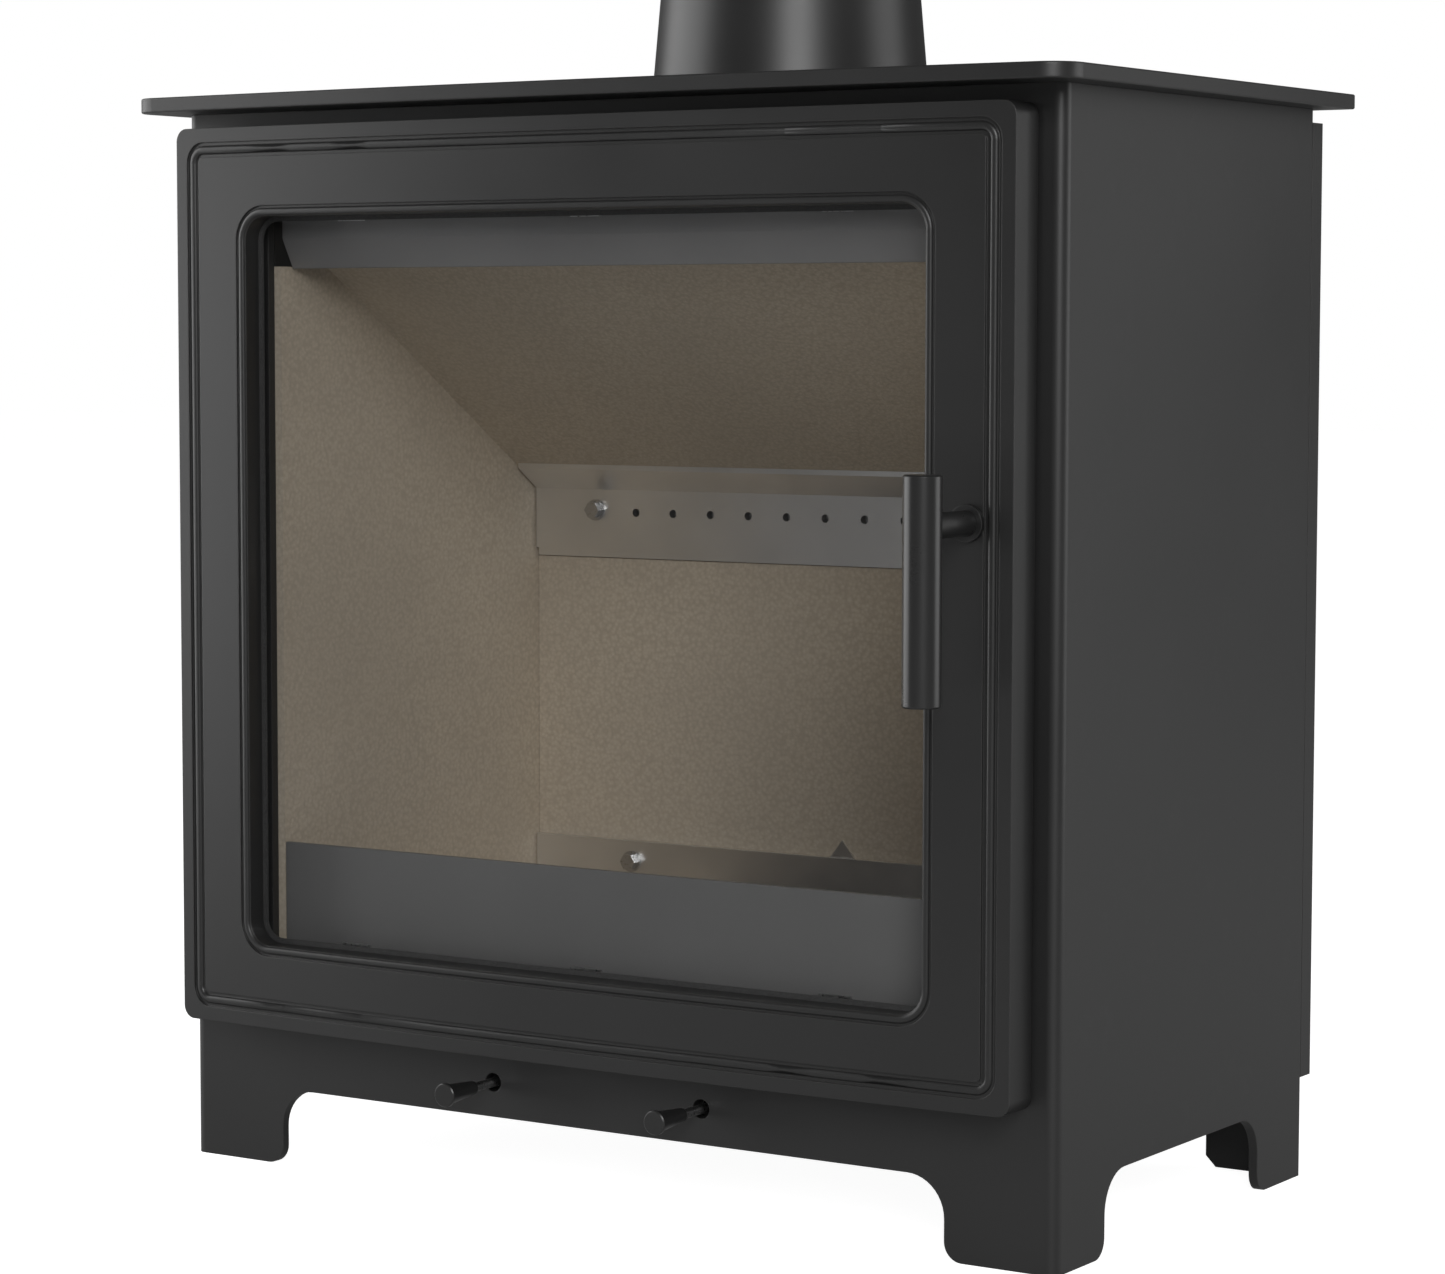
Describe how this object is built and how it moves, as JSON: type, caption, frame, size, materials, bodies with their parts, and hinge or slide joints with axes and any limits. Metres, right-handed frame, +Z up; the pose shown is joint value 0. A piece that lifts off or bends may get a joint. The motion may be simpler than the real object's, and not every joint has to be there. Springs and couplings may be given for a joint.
{
  "type": "wood burning stove",
  "caption": "Free-standing steel wood burning stove on four bent feet, with a hinged glazed door, bar handle, two air controls, brick-lined firebox and top flue collar.",
  "frame": {"origin": "on the floor, at the centre of the footprint of everything including handle and rear shield screws", "axes": "+Z up, +X to the right side of the stove seen from the front, the door faces -Y"},
  "size_m": [0.572, 0.3828, 0.653],
  "materials": {
    "painted_steel": "satin black heat-resistant paint on steel sheet",
    "painted_cast_iron": "satin black heat-resistant paint on cast iron",
    "plain_steel": "plain zinc-plated or bare steel",
    "black_handle_metal": "smooth satin black on turned steel",
    "vermiculite": null,
    "ceramic_glass": "clear heat-resistant glass with a smoky tint",
    "seal_rope": "dark knitted glass-fibre rope"
  },
  "bodies": {
    "stove_body": {"collar_flange": "painted_steel", "log_guard": "painted_steel", "body_wrap": "painted_steel", "rear_panel": "painted_steel", "top_plate": "painted_steel", "floor_plate": "painted_steel", "air_box": "painted_steel", "primary_slide_guides": "painted_steel", "secondary_slide_guides": "painted_steel", "side_liner_left": "painted_steel", "side_liner_right": "painted_steel", "rear_liner": "painted_steel", "rear_air_duct": "painted_steel", "air_wash_deflector": "painted_steel", "heat_shield": "painted_steel", "shield_spacers": "painted_steel", "hinge_brackets": "painted_steel", "latch_keeper": "painted_steel", "flue_collar": "painted_cast_iron", "grate": "painted_cast_iron", "secondary_air_bar": "plain_steel", "rear_brick_retainer": "plain_steel", "collar_bolts": "plain_steel", "bar_bolts": "plain_steel", "retainer_bolts": "plain_steel", "shield_screws": "plain_steel", "brick_left": "vermiculite", "brick_right": "vermiculite", "brick_rear_lower": "vermiculite", "brick_rear_upper": "vermiculite", "baffle_board": "vermiculite", "floor_brick_left": "vermiculite", "floor_brick_right": "vermiculite"},
    "door": {"door_frame": "painted_cast_iron", "door_glass": "ceramic_glass", "glass_gasket": "seal_rope", "glass_clips": "plain_steel", "glass_clip_screws": "plain_steel", "door_rope": "seal_rope", "hinge_pins": "plain_steel", "handle_washer": "black_handle_metal"},
    "handle": {"handle_grip": "black_handle_metal", "handle_stem": "black_handle_metal", "latch_tongue": "plain_steel", "latch_nut": "plain_steel"},
    "primary_air_control": {"primary_knob": "black_handle_metal", "primary_rod": "plain_steel", "primary_slide": "plain_steel"},
    "secondary_air_control": {"secondary_knob": "black_handle_metal", "secondary_rod": "plain_steel", "secondary_slide": "plain_steel"}
  },
  "joints": [
    {"name": "door_hinge", "type": "hinge", "parent": "stove_body", "child": "door", "pos_m": [-0.25, -0.125, 0.3235], "axis": [0, 0, -1], "range_deg": [0, 100]},
    {"name": "handle_turn", "type": "hinge", "parent": "door", "child": "handle", "pos_m": [0.2333, -0.14, 0.366], "axis": [0, 1, 0], "range_deg": [0, 90]},
    {"name": "primary_air_slide", "type": "slide", "parent": "stove_body", "child": "primary_air_control", "axis": [0, -1, 0], "range_m": [0, 0.03]},
    {"name": "secondary_air_slide", "type": "slide", "parent": "stove_body", "child": "secondary_air_control", "axis": [0, -1, 0], "range_m": [0, 0.03]}
  ]
}
